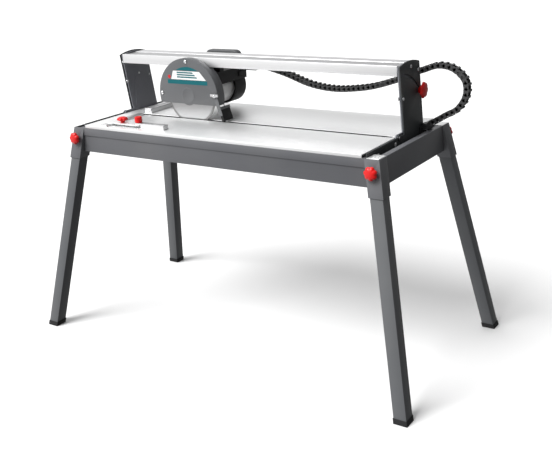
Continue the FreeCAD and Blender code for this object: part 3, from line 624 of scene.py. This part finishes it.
disc = Finish("ground_blade_steel", Metallic=1.0)
disc_place = disc.node("ShaderNodeSeparateXYZ", {}, {"Vector": disc.place})
off_x, off_z = disc_place.output("X") - motor_x, disc_place.output("Z") - motor_z
from_arbor = (off_x * off_x + off_z * off_z) ** 0.5
rings = disc.node("ShaderNodeTexNoise", {"noise_dimensions": "1D"}, {"W": from_arbor * 700, "Scale": 1.0})
rim_from, rim_full = 0.0925, 0.0932
rim = disc.ramp(from_arbor, rim_from, rim_full)
stains = disc.noise(0.03, 5)
ground = disc.tint(rings, (0.32, 0.325, 0.33), (0.39, 0.39, 0.39))
disc.set(Base_Color=disc.repaint(rim * 0.5, ground, (0.20, 0.195, 0.19)),
         Roughness=0.26 + 0.10 * rings + 0.08 * stains + 0.30 * rim)
disc.relief(rings * 0.4 + rim * disc.noise(0.0012, 3), 0.00005)
dress(disc, "blade")

# ---- blade guard ----
# Two pressed steel shells in the frame's grey, screwed together over the blade. The cover has a faint
# raised ring over the arbor and a plain printed decal of coloured bands.

guard_paint = powder_coat("guard_grey_powder_coat", (0.112, 0.116, 0.122), 0.38)
eased("guard_cover", 0.0009, guard_paint)
eased("guard_shell", 0.0012, guard_paint)
guard_front = -0.045
hub_ring = turned("hub_ring", (
    (-0.001, 0, 0), (-0.001, 0.0265, 0), (0.0002, 0.0262, 0), (0.0009, 0.0245, 0), (0.0009, 0.0225, 0),
    (0.0003, 0.0210, 0), (0.0003, 0, 0)),
    (motor_x, guard_front, motor_z), (0, -1, 0), guard_paint)
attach(hub_ring, "carriage")

screw_circle, cover_radius = 0.111, 0.0060
forward = (quarter, 0, 0)
guard_screws = repeated("cover_screws", screw_pattern, steel, [
    ((motor_x + screw_circle * math.cos(turn), guard_front, motor_z + screw_circle * math.sin(turn)),
     forward, (cover_radius,) * 3)
    for turn in (math.radians(90), math.radians(178))])
pivot_x, pivot_z = -0.112, 0.812
pivot_stud = turned("pivot_stud", (
    (-0.038, 0, 0), (-0.038, 0.0058, 0), (-0.0344, 0.0058, 0), (-0.0344, 0.0029, 0), (0.0085, 0.0029, 0),
    (0.0090, 0.0024, 0), (0.0090, 0, 0)), (pivot_x, guard_front, pivot_z), (0, -1, 0), steel, 32)
guard_fixings = joined("guard_fixings", guard_screws, pivot_stud)
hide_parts("guard_screws")
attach(guard_fixings, "carriage")


def print_colour(name, colour):
    ink = Finish(name, Coat_Weight=0.05, Specular_IOR_Level=0.25)
    fade = ink.noise(0.02, 4)
    return ink.set(Base_Color=ink.tint(fade, tuple(0.92 * level for level in colour), colour),
                   Roughness=0.34 + 0.12 * fade).relief(ink.noise(0.002), 0.00002)


def flat_plate(name, outline, front, thick, finish):
    """A thin plate across Y from its outline along X and Z."""
    shape = bmesh.new()
    face = shape.faces.new([shape.verts.new((x, front + thick, z)) for x, z in outline])
    grown = bmesh.ops.extrude_face_region(shape, geom=[face])
    bmesh.ops.translate(shape, vec=(0, -thick, 0),
                        verts=[item for item in grown["geom"] if isinstance(item, bmesh.types.BMVert)])
    bmesh.ops.recalc_face_normals(shape, faces=shape.faces)
    mesh = bpy.data.meshes.new(name)
    shape.to_mesh(mesh)
    shape.free()
    return shade(link_up(name, mesh), finish)


def band(low, high, half_left, half_right, lean_left=0.0, lean_right=0.0):
    """A four-sided outline about the motor's axis; the leans move its upper corners inwards."""
    return [(motor_x - half_left, motor_z + low), (motor_x + half_right, motor_z + low),
            (motor_x + half_right - lean_right, motor_z + high),
            (motor_x - half_left + lean_left, motor_z + high)]


teal = print_colour("teal_print", (0.001, 0.120, 0.140))
white = print_colour("white_print", (0.82, 0.83, 0.82))
scarlet = print_colour("scarlet_print", (0.60, 0.018, 0.022))
film_front, film_thick = guard_front - 0.0004, 0.0006
stripe_front, stripe_thick, stripe_tall = guard_front - 0.0007, 0.0004, 0.0042
cap_radius, cap_shift = 0.094, 0.002
cap_arc = [(motor_x + cap_shift + cap_radius * math.sin(turn), motor_z + cap_radius * math.cos(turn))
           for turn in (math.radians(angle) for angle in range(-29, 30, 2))]
dot_x, dot_z, dot_radius = motor_x - 0.074, motor_z + 0.0600, 0.0058
dot_edge = [(dot_x + dot_radius * math.cos(turn), dot_z + dot_radius * math.sin(turn))
            for turn in (2 * math.pi * step / 24 for step in range(24))]
decal = joined(
    "guard_decal",
    flat_plate("cap", cap_arc[::-1], film_front, film_thick, teal),
    flat_plate("panel", band(0.0520, 0.0800, 0.066, 0.080, 0.010, 0.026), film_front, film_thick, white),
    flat_plate("foot_band", band(0.0370, 0.0505, 0.082, 0.084), film_front, film_thick, teal),
    flat_plate("dot", dot_edge, film_front, film_thick, scarlet),
    *[flat_plate("stripe", band(low, low + stripe_tall, 0.040, wide, 0, 0.003),
                 stripe_front, stripe_thick, teal)
      for low, wide in ((0.0580, 0.044), (0.0655, 0.036), (0.0730, 0.028))])
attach(decal, "carriage")

# ---- splash flap and wing nut ----
# A bracket in the guard's paint turns on the guard's right-hand stud and clamps a ribbed black rubber
# flap that hangs to the table. A plated wing nut holds it.

eased("flap_bracket", 0.0005, guard_paint)
flap = eased("rubber_flap", 0.0012, rubber)
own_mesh(flap)
eased("wing_nut", 0.0012, steel, 3)

# ---- energy chain ----
# Snap-together black links with two side plates, cross bars above and below, tabs on their upper edges
# and a pin at each joint. It carries the cable and hose from the deck's tongue, over a free loop, to its
# anchor on the right post.

chain_y, link_pitch = 0.135, 0.017
route = ((-0.062, 0.888), (0.032, 0.867), (0.178, 0.826), (0.322, 0.828), (0.445, 0.858), (0.540, 0.895),
         (0.597, 0.909), (0.650, 0.889), (0.672, 0.852), (0.655, 0.795), (0.600, 0.758), (0.566, 0.738))


def side_plate(name, middle, half, y, thick):
    """An upright plate with round ends, along X."""
    rise = 0.0066
    outline = []
    for sign in (1, -1):
        outline += [(middle + sign * (half - rise) + sign * rise * math.sin(math.radians(turn)),
                     sign * rise * math.cos(math.radians(turn))) for turn in range(0, 181, 30)]
    return flat_plate(name, outline[::-1], y - thick / 2, thick, link_plastic)


def bar(name, low, high, finish):
    shape = bmesh.new()
    bmesh.ops.create_cube(shape, size=1.0)
    low, high = Vector(low), Vector(high)
    bmesh.ops.transform(shape, verts=shape.verts,
                        matrix=Matrix.Translation((low + high) / 2) @ Matrix.Diagonal((*(high - low), 1)))
    bmesh.ops.bevel(shape, geom=shape.edges, offset=0.0005, segments=1, affect="EDGES")
    mesh = bpy.data.meshes.new(name)
    shape.to_mesh(mesh)
    shape.free()
    return shade(link_up(name, mesh), finish)


link_plastic = Finish("chain_link_plastic", Specular_IOR_Level=0.5)
sheen = link_plastic.noise(0.010, 4)
link_plastic.set(Base_Color=link_plastic.tint(sheen, (0.030, 0.030, 0.031), (0.060, 0.060, 0.061)),
                 Roughness=0.34 + 0.16 * sheen).relief(link_plastic.noise(0.0009), 0.00010)
plates = [side_plate("plate", 0.0045, 0.0125, sign * 0.0107, 0.0024) for sign in (-1, 1)]
plates += [side_plate("plate", -0.0045, 0.0125, sign * 0.0082, 0.0022) for sign in (-1, 1)]
pins = [turned("pin", (
    (0, 0, 0), (0, 0.0028, 0), (0.0026, 0.0028, 0), (0.0030, 0.0022, 0), (0.0030, 0, 0)),
    (link_pitch / 2, sign * 0.0089, 0), (0, sign, 0), link_plastic, 14) for sign in (-1, 1)]
bars = [bar("bar", (-0.0036, -0.0118, 0.0078), (0.0036, 0.0118, 0.0100), link_plastic),
        bar("bar", (-0.0075, -0.0118, -0.0086), (0.0075, 0.0118, -0.0062), link_plastic)]
tabs = [bar("tab", (-0.0036, y - 0.0011, 0.0058), (0.0036, y + 0.0011, 0.0092), link_plastic)
        for y in (-0.0107, 0.0107)]
link_pattern = joined("link_pattern", *plates, *pins, *bars, *tabs)
link_corners = len(link_pattern.data.vertices)

path = bpy.data.curves.new("chain_path", "CURVE")
path.dimensions, path.resolution_u = "3D", 24
spline = path.splines.new("BEZIER")
spline.bezier_points.add(len(route) - 1)
for point, (x, z) in zip(spline.bezier_points, route):
    point.co = (x, chain_y, z)
    point.handle_left_type = point.handle_right_type = "AUTO"
path_holder = link_up("chain_path", path)

group = bpy.data.node_groups.new("chain_nodes", "GeometryNodeTree")
for label, kind in (("Path", "NodeSocketGeometry"), ("Link", "NodeSocketObject"),
                    ("Pitch", "NodeSocketFloat"), ("Finish", "NodeSocketMaterial")):
    group.interface.new_socket(label, in_out="INPUT", socket_type=kind)
group.interface.new_socket("Chain", in_out="OUTPUT", socket_type="NodeSocketGeometry")
tree = Tree(group)
given = tree.node("NodeGroupInput")
spots = tree.node("GeometryNodeCurveToPoints", {"mode": "LENGTH"},
                  {"Curve": given.output("Path"), "Length": given.output("Pitch")})
aligned = tree.node("FunctionNodeAlignRotationToVector", {"axis": "X", "pivot_axis": "Y"},
                    {"Vector": spots.output("Tangent")})
shape = tree.node("GeometryNodeObjectInfo", {}, {"Object": given.output("Link")}).output("Geometry")
copies = tree.node("GeometryNodeInstanceOnPoints", {}, {
    "Points": spots.output("Points"), "Instance": shape, "Rotation": aligned})
solid = tree.node("GeometryNodeRealizeInstances", {}, {"Geometry": copies})
painted = tree.node("GeometryNodeSetMaterial", {},
                    {"Geometry": solid, "Material": given.output("Finish")})
tree.node("NodeGroupOutput", {}, {"Chain": painted})
modifier = path_holder.modifiers.new("links", "NODES")
modifier.node_group = group
inputs = {item.name: item.identifier for item in group.interface.items_tree if item.in_out == "INPUT"}
modifier[inputs["Link"]] = link_pattern
modifier[inputs["Pitch"]] = link_pitch
modifier[inputs["Finish"]] = link_plastic.material
whole = evaluated("whole_chain", path_holder)

corners = np.empty(len(whole.data.vertices) * 3)
whole.data.vertices.foreach_get("co", corners)
corners = corners.reshape(-1, link_corners, 3)
outlines = [tuple(face.vertices) for face in link_pattern.data.polygons]
middles = corners.mean(axis=1)
loop_end_x = 0.622
far = int(np.argmax(middles[:, 0]))
low_end = next(number for number in range(far, len(middles)) if middles[number][0] < loop_end_x)


def run_of_links(name, first, last):
    """The links from first to last as one mesh."""
    places = corners[first:last].reshape(-1, 3)
    faces = [tuple(corner + number * link_corners for corner in face)
             for number in range(last - first) for face in outlines]
    mesh = bpy.data.meshes.new(name)
    mesh.from_pydata(places.tolist(), [], faces)
    smooth(mesh, 38)
    piece = shade(link_up(name, mesh), link_plastic)
    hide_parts("energy_chain")
    return piece


upper = run_of_links("chain_upper_run", 0, far)
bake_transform(upper)
middle = run_of_links("chain_loop", far, low_end)
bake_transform(middle)
lower = run_of_links("chain_lower_run", low_end, len(middles))
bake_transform(lower)
for spare in (whole, link_pattern, screw_pattern, rib_pattern):
    bpy.data.objects.remove(spare)
eased("chain_anchor", 0.0012, tray_plastic)

# ---- fence ----
# An aluminium guide bar and stop profile are screwed on the table's left end. A plated slider with a
# lobed locking knob runs on the bar and carries a short fence that swivels under a second, knurled knob.

eased("guide_bar", 0.0007, anodised)
eased("stop_profile", 0.0007, anodised)
eased("fence_slider", 0.0007, sheet_metal)
eased("fence_bar", 0.0008, anodised)
knob("fence_knob", (0, 0, 1), 0.0180, 0.019, 0.0039, 0.27, 6, 0.17)
low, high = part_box("swivel_knob")
swivel_at = Vector(joint_place["swivel_knob_turn"])
swivel_at.z = low[2]
cap_tall = 0.0194
cap_high = high[2] - low[2]
cap_low = cap_high - cap_tall
swivel_cap = turned("swivel_cap", (
    (cap_low, 0, 0), (cap_low, 0.0100, 0), (cap_low + 0.0015, 0.0118, 0.6), (cap_low + 0.003, 0.0120, 1),
    (cap_high - 0.003, 0.0120, 1), (cap_high - 0.001, 0.0112, 0.5), (cap_high, 0.0095, 0),
    (cap_high - 0.0006, 0.0070, 0), (cap_high - 0.0006, 0, 0)), swivel_at, (0, 0, 1), nylon, 96, 16, 0.07)
swivel_stud = turned("swivel_stud", (
    (0, 0, 0), (0, 0.0024, 0), (0.0006, 0.0029, 0), (cap_low + 0.001, 0.0029, 0), (cap_low + 0.001, 0, 0)),
    swivel_at, (0, 0, 1), steel, 24)
swivel = joined("swivel_knob_knurled", swivel_cap, swivel_stud)
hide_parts("swivel_knob")
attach(swivel, home["swivel_knob"])
